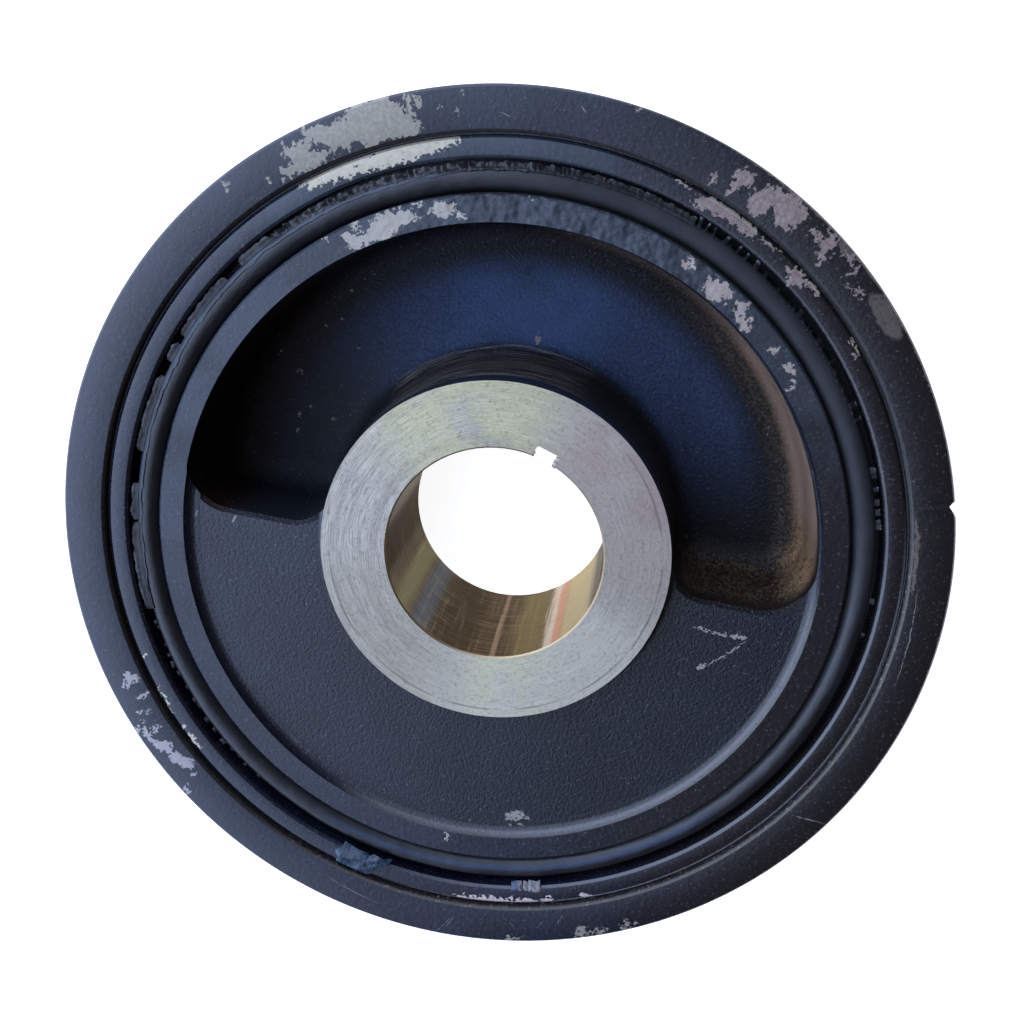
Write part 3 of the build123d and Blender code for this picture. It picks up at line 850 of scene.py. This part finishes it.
FACE_SCRATCHES = (
    (-10.0, 84.0, 20.0, 0.2, -3), (-40.5, 86.2, 6.3, 0.24, 62), (-112.0, 85.6, 12.0, 0.15, 6),
    (-97.6, 87.2, 4.6, 0.12, -58), (-96.8, 86.4, 3.6, 0.12, -62), (-88.0, 85.1, 3.0, 0.12, 44),
    (-80.6, 84.9, 3.4, 0.14, -50), (-83.5, 85.6, 2.4, 0.12, -48), (88.0, 84.3, 3.0, 0.2, 20),
    (79.0, 87.0, 1.6, 0.25, 40),
)
FACE_DUST = (
    (33.6, 87.9, 9.6, 3.8, 0), (42.8, 88.9, 4.0, 1.6, 0), (1.5, 82.6, 16.0, 0.9, 0),
    (39.0, 89.8, 60.0, 0.6, 0), (-12.0, 89.8, 14.0, 0.5, 0),
)
BAND_ISLANDS = ((109.2, 79.7, 0.8, 0.6, 60), (106.4, 80.6, 0.9, 0.4, 0))
BAND_CHIPS = (
    (32.0, 80.2, 3.8, 0.8, 0), (41.6, 80.2, 3.2, 0.8, 0), (44.5, 79.6, 4.8, 1.9, 0),
    (44.6, 78.4, 1.6, 2.0, 0), (50.2, 80.2, 4.4, 1.0, 0), (53.6, 79.6, 3.4, 2.4, 0),
    (58.4, 79.7, 10.4, 2.2, -6), (60.6, 79.0, 4.2, 2.0, 0), (63.8, 80.7, 4.6, 0.5, 0),
    (106.2, 80.7, 31.0, 5.6, 0), (94.9, 80.2, 1.0, 1.4, 0), (-145.2, 80.1, 4.2, 1.0, 0),
    (-148.0, 79.9, 1.2, 1.0, 0), (-153.0, 80.2, 7.0, 0.5, 0), (-161.0, 80.2, 1.0, 0.6, 0),
    (-90.2, 80.5, 17.6, 1.6, 0), (-92.0, 80.0, 9.0, 1.1, 0), (-82.0, 80.4, 3.2, 1.3, 0),
    (-76.0, 80.4, 2.2, 1.0, 0),
)


def rusty_edge_and_highlight(name):
    """The face's inner chamfer, with rust showing in specks and a painted highlight along its lower
    right.
    """
    finish, shader, spot, angle, radius, height = start_finish(name)
    rub = grain(spot, 0.7, 3.0, 0.65)
    rust_and_highlight = rub.rise(0.35, 0.6).over(chart("17171a"), chart("2e2925"))
    foot = angle.span(-112.0, -8.0, 25.0)
    # painted highlight along the chamfer's lower right
    lower_right_highlight = foot * height.rise(FACE - BAND_EDGE - 0.1, FACE - 0.1)
    rust_and_highlight = (lower_right_highlight * 0.85).over(rust_and_highlight, chart("554d45"))
    rust_and_highlight = (rub.rise(0.58, 0.7) * foot).over(rust_and_highlight, chart("8a7a68"))
    connect(
        shader, Base_Color=rust_and_highlight, Roughness=rub * 0.2 + 0.4, Specular_IOR_Level=0.4,
        Normal=relief(rub * 0.06))
    return finish


ring_work = lathe_mesh((
    (RING_BORE_R, RING_BACK + BACK_EDGE), (RING_BORE_R + BACK_EDGE, RING_BACK),
    (RING_R - RING_EDGE, RING_BACK), (RING_R, RING_BACK + RING_EDGE),
    (RING_R, FACE - RING_EDGE), (RING_R - RING_EDGE, FACE),
    (GROOVE_OUT_R + BAND_EDGE, FACE), (GROOVE_OUT_R, FACE - BAND_EDGE),
    (GROOVE_OUT_R, GROOVE_FLOOR), (GROOVE_IN_R, GROOVE_FLOOR),
    (GROOVE_IN_R, BAND_FACE - BAND_EDGE), (GROOVE_IN_R - BAND_EDGE, BAND_FACE),
    (RING_BORE_R + BAND_EDGE, BAND_FACE), (RING_BORE_R, BAND_FACE - BAND_EDGE)), edge=EASED)
for vert in ring_work.verts:
    # the timing notch: a V filed along the rim, one side steep and the other sloping
    reach = math.hypot(vert.co.x, vert.co.y) * 1000
    past = math.degrees(math.atan2(vert.co.y, vert.co.x)) - (NOTCH_ANGLE + LAYOUT_TURN)
    past *= math.radians(RING_R)
    side = NOTCH_STEEP if past > 0 else NOTCH_SLOPE
    limit = RING_R - NOTCH_DEPTH * max(0.0, 1 - abs(past) / side)
    if reach > limit:
        vert.co.xy *= limit / reach
side_paint = turned_paint("ring_side_paint")
inertia_ring = stand("inertia_ring_fine", ring_work, side_paint, 30.0)
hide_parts("inertia_ring")


def ring_face(radius, height):
    """The finish of a face of the ring whose middle is at this radius and height."""
    if height < BAND_FACE - BAND_EDGE - FACE_SLACK:
        return "side"
    if radius < GROOVE_IN_R:
        return "band"
    return "edge" if radius < GROOVE_OUT_R + BAND_EDGE else "face"


def band_cream(angle, radius):
    """Where filler shows in the band's chips: along its outer edge, and over two stretches."""
    stretches = angle.rise(-30.0, -60.0).most(angle.rise(80.0, 92.0))
    return radius.rise(80.1, 80.5).most(stretches) * 0.85


dress(inertia_ring, {
    "side": side_paint,
    "edge": rusty_edge_and_highlight("rusty_edge_and_highlight"),
    "face": turned_paint(
        "ring_face_paint", FACE_CHIPS, 85.0, FACE_ISLANDS, scratches=FACE_SCRATCHES,
        dust=FACE_DUST),
    "band": turned_paint(
        "ring_band_paint", BAND_CHIPS, 79.0, BAND_ISLANDS, 2.5, band_cream,
        pale_stretch=(88.0, 118.0, 0.55), edge_highlights=((80.8, 0.5, "b4b4b8"), (77.05, 0.45, "444346"))),
}, ring_face)

# ---------------------------------------------------------------------------
# The bench: a pale lit table under the part, soft light from the left, and the camera.
# ---------------------------------------------------------------------------
bench = bmesh.new()
bmesh.ops.create_grid(bench, x_segments=1, y_segments=1, size=3.0)
bmesh.ops.translate(bench, verts=bench.verts, vec=(0.0, 0.0, -0.0001))
bench_mesh = bpy.data.meshes.new("bench")
bench.to_mesh(bench_mesh)
bench.free()
bench_top = bpy.data.objects.new("bench", bench_mesh)
bpy.context.scene.collection.objects.link(bench_top)
bench_finish = bpy.data.materials.new("bench_finish")
bench_finish.use_nodes = True
connect(
    bench_finish.node_tree.nodes["Principled BSDF"], Base_Color=chart("f4f4f4"), Roughness=0.9,
    Emission_Color=chart("ffffff"), Emission_Strength=0.9)
bench_mesh.materials.append(bench_finish)

layout = Matrix.Rotation(math.radians(LAYOUT_TURN), 4, "Z")


def softbox(name, where, size, power, tint):
    """A square soft light at a place in metres, in the layout's axes, facing the part."""
    light = bpy.data.lights.new(name, "AREA")
    light.shape = "SQUARE"
    light.size = size
    light.energy = power
    light.color = tint
    lamp = bpy.data.objects.new(name, light)
    bpy.context.scene.collection.objects.link(lamp)
    lamp.location = layout @ Vector(where)
    lamp.rotation_euler = (Vector((0, 0, 0.02)) - lamp.location).to_track_quat("-Z", "Y").to_euler()


softbox("window_light", (-0.75, 0.25, 0.65), 0.5, 0.4, (0.85, 0.92, 1.0))

room = bpy.data.worlds.new("room")
room.use_nodes = True
bpy.context.scene.world = room
background = room.node_tree.nodes["Background"]
sky = Wire(room.node_tree).node("ShaderNodeTexCoord", None, None, "Generated")
leftward = layout.to_3x3() @ Vector((-1.0, 0.31, 0.0))
toward_window = sky.vector("DOT_PRODUCT", sky, leftward, out="Value")
glow = toward_window.rise(-0.17, 0.03) * 0.3 + toward_window.most(0.0).least(0.6) * 1.16
sky_tint = glow.over((0.02, 0.015, 0.012, 1), (0.55, 0.68, 1.0, 1))
connect(background, Color=sky_tint, Strength=3.3)

CAMERA_PLACE = (0.0310, 0.08194, 0.28732)           # in metres and the layout's axes
CAMERA_TURNS = (-16.197, 6.246, LAYOUT_TURN)        # degrees about X, Y and Z
LENS = 46.3588
camera = bpy.data.cameras.new("camera")
camera.sensor_width = 36.0
camera.lens = LENS
camera.clip_start = 0.01
camera.clip_end = 10.0
camera_object = bpy.data.objects.new("camera", camera)
bpy.context.scene.collection.objects.link(camera_object)
camera_object.location = layout @ Vector(CAMERA_PLACE)
camera_object.rotation_euler = [math.radians(turn) for turn in CAMERA_TURNS]
bpy.context.scene.camera = camera_object
bpy.context.scene.view_settings.view_transform = "Standard"
